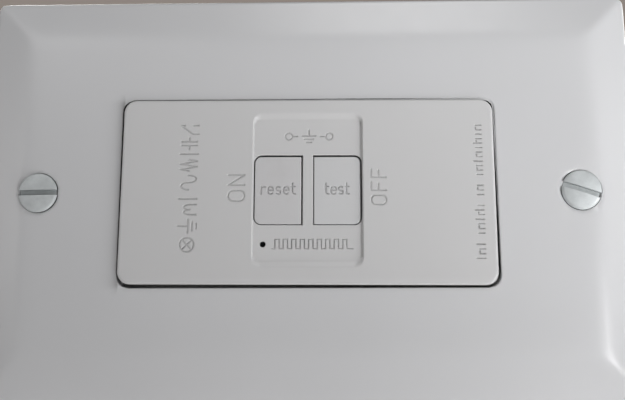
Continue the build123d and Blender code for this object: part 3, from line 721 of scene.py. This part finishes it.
def build_plate():
    edge = (0.0, 0.03, 0.08, 0.15, 0.25, 0.38, 0.55, 0.8, 1.3, 1.9, 2.4)
    lip = (0.03, 0.08, 0.15, 0.25, 0.5)
    rib_xs, rib_half, rib_start_z, rib_y = (12.0, 36.0), 0.6, 22.4, -0.7
    half = SCREW_HOLE_HALF
    hole_spacing = 2 * half / 14
    inner_x, inner_z = PLATE_X - PLATE_T, PLATE_Z - PLATE_T
    rib_sides = [rib_x + s * rib_half for rib_x in rib_xs for s in (-1, 1)]
    xs = lines(
        mirror_spans([(0, OPEN_X - 0.5, 1.6), (OPEN_X, OPEN_X + 2.4, 0.3),
                      (OPEN_X + 2.4, SCREW_X - 8, 0.9), (SCREW_X - 8, SCREW_X - half, 0.6),
                      (SCREW_X - half, SCREW_X + half, hole_spacing),
                      (SCREW_X + half, PLATE_X - 2.4, 0.45)]),
        points=mirror([OPEN_X + t for t in lip] + [PLATE_X - t for t in edge]),
        steps=mirror([OPEN_X, inner_x] + rib_sides))
    zs = lines(
        mirror_spans([(0, half, hole_spacing), (half, OPEN_Z - 0.6, 0.9), (OPEN_Z, 24.0, 0.8),
                      (24.0, PLATE_Z - 2.4, 0.45)]),
        points=mirror([OPEN_Z + t for t in lip] + [PLATE_Z - t for t in edge]),
        steps=mirror((OPEN_Z, inner_z, rib_start_z)))

    def near(across, along, edge_at, end_at):
        """1 at one edge of the opening, fading to 0 within 3 mm of it and past its ends."""
        beside = (across > edge_at - 0.7) & (np.abs(along) < end_at + 3)
        fade = np.where(beside, np.clip(1 - np.abs(across - edge_at) / 3.0, 0, 1), 0)
        return fade * np.clip((end_at + 3 - np.abs(along)) / 3.0, 0, 1)

    def warp(x, z):
        x, z = round_corners(x, z, OPEN_X, OPEN_Z, OPEN_R, reach=3.0)
        x, z = round_corners(x, z, PLATE_X, PLATE_Z, PLATE_R, reach=1e-6)
        for side in (-1, 1):
            x, z = disc_warp(x, z, side * SCREW_X, 0, half, SCREW_HOLE_R, reach=7.0)
        # the opening is a little out of square: its top edge closes to the right,
        # its right edge closes upwards
        top = near(z, x, OPEN_Z, OPEN_X)
        right = near(x, z, OPEN_X, OPEN_Z)
        return (x - right * (0.04 + 0.0062 * (z + 7.5)),
                z - top * (0.065 + 0.0035 * (x + 20.0)))

    def front(col, row, x, z):
        inset = -outline_distance(x, z, (-PLATE_X, PLATE_X), (-PLATE_Z, PLATE_Z), PLATE_R)
        away = outline_distance(x, z, (-OPEN_X, OPEN_X), (-OPEN_Z, OPEN_Z), OPEN_R)
        y = plate_surface(x, z) + fillet_drop(inset, 0.6) + fillet_drop(away, 0.22)
        for side in (-1, 1):
            y = y + fillet_drop(np.hypot(x - side * SCREW_X, z) - SCREW_HOLE_R, 0.12)
        return y

    def back(col, row, x, z):
        inside = between(col, xs, -inner_x, inner_x) & between(row, zs, -inner_z, inner_z)
        y = np.where(inside, plate_surface(x, z) + PLATE_T, 0.0)
        rib_rows = ((row >= last_line(zs, rib_start_z)) | (row <= first_line(zs, -rib_start_z)))
        for rib_x in mirror(rib_xs):
            rib = between(col, xs, rib_x - rib_half, rib_x + rib_half)
            y = np.where(inside & rib & rib_rows, rib_y, y)
        return y

    def keep(x, z):
        hole = (np.abs(x) < OPEN_X) & (np.abs(z) < OPEN_Z)
        screw = (np.abs(np.abs(x) - SCREW_X) < half) & (np.abs(z) < half)
        return ~(hole | screw)

    def painted_shade(x, z):
        """A painted shadow on the plate: a soft dark band left of the opening, where the raised face
        casts its shadow.
        """
        distance = np.maximum(-OPEN_X - x, 0)
        band = np.clip((OPEN_Z + 0.6 - np.abs(z)) / 1.2, 0, 1)
        return np.where(x < -OPEN_X + 0.3, 2.2 * np.exp(-distance / 0.9) * band, 0)

    ob = grid_solid("wall_plate_moulded", xs, zs, front, back, keep, warp, painted_shade, sharp_deg=40)
    cut_countersinks(ob.data)
    hang(ob)
    return register(ob, "device", "wall_plate")


# ------------------------------------------------------------------ springs
def build_spring(node, starts, axis, length, radius, wire, turns, bodies, fixed_first=True):
    """Compression springs with closed end turns.

    starts are the centres of each one's first end, axis is 0 (X) or 1 (Y) and wire is the wire's
    radius. bodies, the (fixed, moving) ones, is not used.
    """
    verts, faces = [], []
    sides, per_turn = 10, 28
    count = int(turns * per_turn)
    end = 0.75 / turns                    # the end turns lie closer than the middle ones

    def place_on_axis(start, along, across):
        x, y, z = start
        return (x + along, y + across, z) if axis == 0 else (x + across, y + along, z)

    for start in starts:
        rings = []
        for k in range(count + 1):
            part = k / count
            rise = (min(part, end) * 0.45 + max(0.0, min(part - end, 1 - 2 * end))
                    + max(0.0, part - 1 + end) * 0.45) / (1 - 1.1 * end)
            centre = wire + (length - 2 * wire) * rise
            turn = 2 * math.pi * turns * part
            rings.append(list(range(len(verts), len(verts) + sides)))
            for q in range(sides):
                angle = 2 * math.pi * q / sides
                out = radius + wire * math.cos(angle)
                x, y, z = place_on_axis(start, centre + wire * math.sin(angle),
                                        out * math.cos(turn))
                verts.append((x, y, z + out * math.sin(turn)))
        faces += skin_rings(rings)
        faces.append(rings[0][::-1])
        faces.append(rings[-1])
    ob = new_object(node + "_wound", verts, faces, sharp_deg=50)
    ends = [tuple(value * MM for value in place_on_axis(starts[0], along, 0))
            for along in (0, length)]
    if not fixed_first:
        ends.reverse()
    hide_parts(node)
    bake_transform(ob)
    return ob


def build_springs():
    button = dict(axis=1, length=4.3, radius=2.25, wire=0.2, turns=5, fixed_first=False)
    return [
        build_spring("reset_spring", [(-STEM_X, -4.6, STEM_Z)],
                     bodies=("device", "reset_actuator"), **button),
        build_spring("test_spring", [(STEM_X, -4.6, STEM_Z)],
                     bodies=("device", "test_actuator"), **button),
        build_spring("carrier_springs", [(-8.0, 2.2, 2.7), (-2.6, 2.2, -2.5)], axis=1,
                     length=4.55, radius=0.9, wire=0.14, turns=6, bodies=("device", "carrier")),
        build_spring("latch_spring", [(-1.1, 11.7, 0.12)], axis=0,
                     length=2.4, radius=0.95, wire=0.14, turns=4, bodies=("carrier", "latch")),
        build_spring("plunger_spring", [(10.5, 13.5, 0.0)], axis=0,
                     length=4.2, radius=1.55, wire=0.2, turns=6, bodies=("device", "plunger")),
    ]


# ------------------------------------------------------------------ materials
class Tree:
    """Adds shader nodes to the emptied node tree of a material or world."""

    def __init__(self, owner):
        owner.use_nodes = True
        self.tree = owner.node_tree
        self.tree.nodes.clear()

    def feed(self, node, inputs):
        """Links or sets a node's inputs."""
        for key, value in inputs.items():
            if isinstance(value, bpy.types.NodeSocket):
                self.tree.links.new(value, node.inputs[key])
            else:
                node.inputs[key].default_value = value

    def add(self, kind, inputs=None, **settings):
        node = self.tree.nodes.new("ShaderNode" + kind)
        for key, value in settings.items():
            setattr(node, key, value)
        self.feed(node, inputs or {})
        return node

    def math(self, operation, first, second):
        return self.add("Math", {0: first, 1: second}, operation=operation).outputs[0]

    def map_range(self, value, from_min=0.0, from_max=1.0, to_min=0.0, to_max=1.0, **settings):
        return self.add("MapRange", {
            "Value": value, "From Min": from_min, "From Max": from_max,
            "To Min": to_min, "To Max": to_max}, **settings).outputs[0]

    def mix(self, factor, colour, target):
        node = self.add("Mix", {"Factor": factor, "A": colour, "B": (*target, 1)},
                        data_type="RGBA")
        return node.outputs["Result"]


class Look(Tree):
    """A material with one principled shader, textured in object space."""

    def __init__(self, name):
        self.material = bpy.data.materials.new(name)
        super().__init__(self.material)
        self.output = self.add("OutputMaterial")
        self.shader = self.add("BsdfPrincipled")
        self.feed(self.output, {0: self.shader.outputs[0]})
        self.position = self.add("TexCoord").outputs["Object"]

    def set(self, inputs):
        self.feed(self.shader, inputs)

    def noise(self, scale, detail=3.0, rough=0.5, stretch=None):
        vector = self.position
        if stretch:
            vector = self.add("Mapping", {"Scale": stretch, "Vector": vector}).outputs[0]
        return self.add("TexNoise", {"Scale": scale, "Detail": detail, "Roughness": rough,
                                     "Vector": vector}).outputs["Fac"]

    def ramp(self, factor, *stops):
        """Colour ramp from (position, colour) stops."""
        node = self.add("ValToRGB", {0: factor})
        elements = node.color_ramp.elements
        elements[0].position, elements[0].color = stops[0][0], (*stops[0][1], 1)
        elements[1].position, elements[1].color = stops[-1][0], (*stops[-1][1], 1)
        for position, colour in stops[1:-1]:
            elements.new(position).color = (*colour, 1)
        return node.outputs[0]

    def open_light(self, distance):
        """Ambient occlusion: low in crevices narrower than distance."""
        return self.add("AmbientOcclusion", {"Distance": distance}, samples=6).outputs["AO"]

    def bump(self, height, distance):
        node = self.add("Bump", {"Distance": distance, "Strength": 1.0, "Height": height})
        self.set({"Normal": node.outputs[0]})


def scaled(colour, factor):
    return tuple(min(1, value * factor) for value in colour)


def moulded_white(name, base, rough, specks=True, smudge=0.0):
    """Satin moulded plastic: faint waviness, fine texture, dust specks and handling marks."""
    look = Look(name)
    colour = look.ramp(look.noise(38, 2, 0.45), (0.25, scaled(base, 0.985)),
                       (0.75, scaled(base, 1.01)))
    if specks:
        cells = look.add("TexVoronoi", {"Scale": 95, "Randomness": 1.0, "Vector": look.position})
        spot = look.map_range(cells.outputs["Distance"], from_min=0.018, from_max=0.034,
                              to_min=1.0, to_max=0.0)
        split = look.add("SeparateColor", {0: cells.outputs["Color"]})
        chosen = look.math("GREATER_THAN", split.outputs[0], 0.80)
        dot = look.math("MULTIPLY", look.math("MULTIPLY", spot, chosen), 0.35)
        colour = look.mix(dot, colour, (0.30, 0.27, 0.24))
    if smudge:
        patches = look.map_range(look.noise(260, 4, 0.6), from_min=0.52, from_max=0.72,
                                 to_max=smudge)
        colour = look.mix(patches, colour, (0.52, 0.50, 0.49))
    # painted shade along the bottom of the marks, and the painted shadow left of the plate's opening
    painted_shade_amount = look.add("Attribute", attribute_name="painted_shade").outputs["Fac"]
    colour = look.mix(look.math("MULTIPLY", painted_shade_amount, 0.24), colour, (0.20, 0.19, 0.19))
    # painted shade: narrow gaps are painted nearly black and lose their shine
    painted_gap_shade = look.map_range(look.open_light(0.0011), from_min=0.30, from_max=0.47,
                          to_min=0.985, to_max=0.0)
    colour = look.mix(painted_gap_shade, colour, (0.008, 0.008, 0.008))
    shine = look.math("MULTIPLY", look.math("SUBTRACT", 1.0, painted_gap_shade), 0.5)
    look.set({
        "Base Color": colour,
        "Specular IOR Level": shine,
        "Roughness": look.map_range(look.noise(300, 4, 0.6),
                                    to_min=rough - 0.05, to_max=rough + 0.07),
        "IOR": 1.50,
        "Subsurface Weight": 0.03,
        "Subsurface Radius": (0.0012, 0.0011, 0.0010),
    })
    fine, wave = look.noise(5200, 2, 0.5), look.noise(60, 1, 0.4)
    height = look.math("ADD", look.math("MULTIPLY", fine, 0.10), look.math("MULTIPLY", wave, 0.9))
    look.bump(height, 0.00006)
    return look.material


def plastic(name, base, rough=0.5, grain=2600, depth=0.00005, coat=0.0):
    look = Look(name)
    colour = look.ramp(look.noise(120), (0.3, scaled(base, 0.9)), (0.7, scaled(base, 1.06)))
    look.set({
        "Base Color": colour,
        "Roughness": look.map_range(look.noise(900), to_min=max(0.05, rough - 0.08),
                                    to_max=rough + 0.08),
        "Coat Weight": coat,
    })
    look.bump(look.noise(grain, 3, 0.6), depth)
    return look.material


def metal(name, base, rough, stretch=(1, 1, 1), scale=420, depth=0.00002, stain=None,
          metallic=1.0, painted_crevice_shade=0.0):
    """Metal brushed along the axes that stretch leaves low. The last argument is how dark the
    painted shade in its gaps goes.
    """
    look = Look(name)
    brushed = look.noise(scale, 5, 0.65, stretch)
    colour = look.ramp(look.noise(240, 4, 0.6), (0.3, scaled(base, 0.82)), (0.55, base),
                       (0.8, scaled(base, 1.12)))
    if stain:
        patches = look.map_range(look.noise(130, 5, 0.7), from_min=0.52, from_max=0.75,
                                 to_max=0.6)
        colour = look.mix(patches, colour, stain)
    # painted shade in the gaps, such as a screw's slot, darker where ambient occlusion is low
    if painted_crevice_shade:
        painted_gap_shade = look.map_range(look.open_light(0.0012), from_min=0.35, from_max=0.85,
                              to_min=painted_crevice_shade, to_max=0.0)
        colour = look.mix(painted_gap_shade, colour, (0.10, 0.11, 0.11))
    look.set({
        "Metallic": metallic,
        "Base Color": colour,
        "Roughness": look.map_range(brushed, to_min=max(0.05, rough - 0.12),
                                    to_max=rough + 0.16),
    })
    look.bump(brushed, depth)
    return look.material


def bands(look, **inputs):
    """Wave texture in bands across X."""
    inputs["Vector"] = look.position
    return look.add("TexWave", inputs, bands_direction="X").outputs["Fac"]


def resistor_lacquer():
    look = Look("resistor_lacquer")
    tan = (0.50, 0.36, 0.20)
    stripes = bands(look, Scale=330, Distortion=0.3)
    colour = look.ramp(stripes, (0.0, tan), (0.80, tan), (0.86, (0.25, 0.05, 0.03)),
                       (1.0, (0.20, 0.04, 0.03)))
    look.set({"Base Color": colour, "Roughness": 0.3})
    look.bump(look.noise(900, 2), 0.00003)
    return look.material


def copper_winding():
    """Enamelled wire, seen as close turns."""
    look = Look("copper_winding")
    turns = bands(look, Scale=800, Distortion=0.6, Detail=1)
    colour = look.ramp(turns, (0.0, (0.16, 0.05, 0.02)), (0.4, (0.60, 0.24, 0.09)),
                       (1.0, (0.78, 0.36, 0.15)))
    look.set({"Base Color": colour, "Metallic": 0.85, "Roughness": 0.30, "Coat Weight": 0.5})
    look.bump(turns, 0.0001)
    return look.material


def board_mask():
    """Solder mask with a weave showing through."""
    look = Look("board_mask")
    weave = look.add("TexBrick", {"Scale": 260, "Vector": look.position}).outputs["Fac"]
    colour = look.ramp(look.noise(160), (0.3, (0.012, 0.12, 0.05)), (0.7, (0.02, 0.19, 0.08)))
    look.set({"Base Color": colour, "Roughness": 0.3, "Coat Weight": 0.4})
    look.bump(weave, 0.00002)
    return look.material


def build_materials():
    along_x = (10, 1, 1)
    return {
        "plate": moulded_white("plate_white", (0.80, 0.80, 0.81), rough=0.30),
        "cover": moulded_white("cover_white", (0.79, 0.785, 0.785), rough=0.33),
        "reset": moulded_white("reset_white", (0.76, 0.752, 0.757), rough=0.33,
                               specks=False, smudge=0.10),
        "test": moulded_white("test_white", (0.79, 0.79, 0.795), rough=0.33,
                              specks=False, smudge=0.03),
        "zinc_steel": metal("zinc_plated_steel", (0.66, 0.66, 0.65), rough=0.34,
                            stretch=(1, 9, 1)),
        # the screws' slots carry painted shade
        "plate_screw": metal("screw_zinc", (0.80, 0.835, 0.84), rough=0.50, stretch=(1, 1, 5),
                             scale=700, depth=0.00004, stain=(0.62, 0.65, 0.65),
                             metallic=0.2, painted_crevice_shade=0.36),
        "green_steel": metal("green_zinc", (0.05, 0.34, 0.13), rough=0.36, scale=500),
        "brass": metal("rolled_brass", (0.80, 0.58, 0.24), rough=0.30, stretch=along_x),
        "nickel": metal("nickel_plate", (0.73, 0.71, 0.67), rough=0.28, stretch=along_x),
        "silver_contact": metal("silver", (0.86, 0.85, 0.82), rough=0.22),
        "bronze": metal("phosphor_bronze", (0.70, 0.44, 0.24), rough=0.30, stretch=along_x),
        "spring_steel": metal("spring_wire", (0.58, 0.58, 0.59), rough=0.26, scale=900),
        "ferrite": plastic("ferrite_core", (0.055, 0.055, 0.06), rough=0.55, grain=1800,
                           depth=0.00006),
        "grey_plastic": plastic("grey_housing", (0.20, 0.205, 0.21), rough=0.48, grain=3000,
                                depth=0.00006),
        "separator": plastic("grey_separator", (0.26, 0.265, 0.27), rough=0.50, grain=3000,
                             depth=0.00006),
        "ivory_plastic": plastic("ivory_nylon", (0.74, 0.72, 0.64), rough=0.45),
        "black_plastic": plastic("black_thermoset", (0.022, 0.022, 0.024), rough=0.42),
        "clear_plastic": plastic("smoked_acrylic", (0.010, 0.011, 0.012), rough=0.16, grain=400,
                                 depth=0.00001),
        "fibre": plastic("fibre_board", (0.50, 0.36, 0.21), rough=0.85, grain=1500,
                         depth=0.00012),
        "blue_ceramic": plastic("blue_epoxy", (0.03, 0.11, 0.40), rough=0.25, grain=500,
                                depth=0.00006, coat=0.5),
        "capacitor_sleeve": plastic("navy_sleeve", (0.015, 0.02, 0.06), rough=0.28, grain=700,
                                    depth=0.00002, coat=0.4),
        "yellow_film": plastic("yellow_box", (0.66, 0.44, 0.05), rough=0.35),
        "lamp_lens": plastic("red_lens", (0.42, 0.02, 0.015), rough=0.15, grain=400,
                             depth=0.00001, coat=0.6),
        "resistor_body": resistor_lacquer(),
        "copper_winding": copper_winding(),
        "board_green": board_mask(),
    }


def dress_cad_nodes(materials):
    """Gives every CAD piece the material of its slot, or its own one."""
    slot_of = {part["node"]: part["material_slot"] for part in frame["record"]["subparts"]}
    own = {"wall_plate_screws": "plate_screw", "separator": "separator", "wall_plate": "plate",
           "front_cover": "cover", "reset_button": "reset", "test_button": "test"}
    for node, ob in frame["nodes"].items():
        key = own.get(node) or slot_of.get(node)
        material = materials.get(key) or materials["grey_plastic"]
        if ob.data.materials:
            for slot in ob.material_slots:
                slot.link = "OBJECT"
                slot.material = material
        else:
            ob.data.materials.append(material)


# ------------------------------------------------------------------ floor, lights, world
BACKDROP = (0.275, 0.240, 0.215, 1)
WHITE, COOL = (1, 1, 1), (0.985, 0.99, 1.0)


def build_floor():
    """A pale table under the plate that fades into the backdrop colour far away."""
    half, z = 2.5, -PLATE_Z * MM - 0.00002
    mesh = bpy.data.meshes.new("floor")
    mesh.from_pydata([(-half, -half, z), (half, -half, z), (half, half, z), (-half, half, z)],
                     [], [[0, 1, 2, 3]])
    ob = link("floor", mesh)
    look = Look("floor_pale")
    mesh.materials.append(look.material)
    pale = (0.62, 0.61, 0.60)
    look.set({"Base Color": look.ramp(look.noise(9), (0.3, scaled(pale, 0.97)), (0.7, pale)),
              "Roughness": 0.7})
    position = look.add("TexCoord").outputs["Object"]
    distance = look.add("VectorMath", {0: position}, operation="LENGTH").outputs["Value"]
    far = look.map_range(distance, from_min=0.25, from_max=1.3, interpolation_type="SMOOTHSTEP")
    seen = look.add("LightPath").outputs["Is Camera Ray"]
    glow = look.add("Emission", {"Color": BACKDROP})
    blend = look.add("MixShader", {0: look.math("MULTIPLY", far, seen),
                                   1: look.shader.outputs[0], 2: glow.outputs[0]})
    look.feed(look.output, {0: blend.outputs[0]})
    ob.visible_shadow = False
    return ob


def add_light(name, kind, location, target, **settings):
    """A light at location turned to target, both in metres."""
    data = bpy.data.lights.new(name, kind)
    for key, value in settings.items():
        setattr(data, key, value)
    ob = link(name, data)
    ob.location = location
    ob.rotation_euler = (Vector(target) - Vector(location)).to_track_quat("-Z", "Y").to_euler()
    return ob


# square soft lights aimed at the origin: name, place, side, power, colour
AREA_LIGHTS = [
    ("high", (0.10, -0.413, 0.78), 0.34, 1.66, WHITE),
    ("window_low", (0.4906, -0.3066, -0.6894), 0.34, 2.05, COOL),
    ("window_mid", (0.7077, -0.4422, -0.3371), 0.34, 0.384, COOL),
    ("left", (-0.7916, -0.4209, 0.0784), 0.34, 0.82, (1.0, 0.985, 0.985)),
    ("near_left", (-0.14, -0.14, 0.14), 0.10, 0.046, WHITE),
    ("near_right", (0.18, -0.14, -0.10), 0.10, 0.0417, COOL),
    ("right_graze", (0.22, -0.07, 0.03), 0.08, 0.0432, COOL),
    ("rear", (-0.5, 0.7, 0.6), 0.6, 0.95, WHITE),
    ("rear_side", (0.75, 0.55, 0.30), 0.4, 0.45, (1.0, 0.99, 0.97)),
]


def build_lights(floor):
    off_table = bpy.data.collections.new("off_table")
    off_table.objects.link(floor)
    for member in off_table.collection_objects:
        member.light_linking.link_state = "EXCLUDE"
    for name, location, side, power, colour in AREA_LIGHTS:
        lamp = add_light(name, "AREA", location, (0, 0, 0), energy=power, color=colour,
                         shape="RECTANGLE", size=side, size_y=side)
        if name.startswith("rear"):       # these light the back of the device, not the table
            lamp.data.spread = math.radians(60)
            lamp.light_linking.receiver_collection = off_table
    # the window's soft patch, brightest on the upper right of the plate
    add_light("window", "SPOT", (0.40, -0.42, -0.15), (0.052, -0.005, 0.034),
              energy=7.58, spot_size=math.radians(19), spot_blend=1.0,
              shadow_soft_size=0.06, color=COOL)
    # a glint along the lower right edge of the plate
    add_light("window_glint", "SPOT", (0.4355, -0.4026, -0.072), (0.058, -0.005, -0.022),
              energy=2.3, spot_size=math.radians(4.4), spot_blend=1.0,
              shadow_soft_size=0.02, color=COOL)


def build_world():
    """A dim light on the device, and the backdrop colour for the camera."""
    world = bpy.data.worlds.new("studio")
    scene.world = world
    tree = Tree(world)
    output = tree.add("OutputWorld")
    lit = tree.add("Background", {0: (0.92, 0.95, 1.0, 1), 1: 0.02})
    seen = tree.add("Background", {0: BACKDROP, 1: 1.0})
    camera_ray = tree.add("LightPath").outputs["Is Camera Ray"]
    blend = tree.add("MixShader", {0: camera_ray, 1: lit.outputs[0], 2: seen.outputs[0]})
    tree.feed(output, {0: blend.outputs[0]})


# ------------------------------------------------------------------ camera
def build_camera():
    """Looks at the plate from the front, a little from below."""
    azimuth, elevation, roll = (math.radians(a) for a in (1.258, -8.762, 0.146))
    distance, target = 121.29, Vector((0.85, 0, -0.763))      # millimetres
    data = bpy.data.cameras.new("camera")
    data.sensor_width = 36.0
    data.lens = 37.44
    data.clip_start = 0.002
    data.clip_end = 20.0
    ob = link("camera", data)
    back = Vector((math.sin(azimuth) * math.cos(elevation),
                   -math.cos(azimuth) * math.cos(elevation), math.sin(elevation)))
    place_mm = target + back * distance
    level = (-back).cross(Vector((0, 0, 1))).normalized()
    upright = level.cross(-back)
    right = level * math.cos(roll) + upright * math.sin(roll)
    up = -level * math.sin(roll) + upright * math.cos(roll)
    rows = [(right[k], up[k], back[k], place_mm[k] * MM) for k in range(3)]
    ob.matrix_world = Matrix((*rows, (0, 0, 0, 1)))
    scene.camera = ob


# ------------------------------------------------------------------ build
materials = build_materials()
dressed = [
    (build_cover(), "cover"),
    (build_button(-1), "reset"),
    (build_button(1), "test"),
    (build_plate(), "plate"),
    (build_plate_screws(), "plate_screw"),
]
dressed += [(spring, "spring_steel") for spring in build_springs()]
for piece, look_key in dressed:
    piece.data.materials.clear()
    piece.data.materials.append(materials[look_key])
dress_cad_nodes(materials)

build_lights(build_floor())
build_world()
scene.view_settings.view_transform = "Standard"
scene.view_settings.look = "None"
scene.view_settings.exposure = -0.035
scene.view_settings.gamma = 1.0
build_camera()
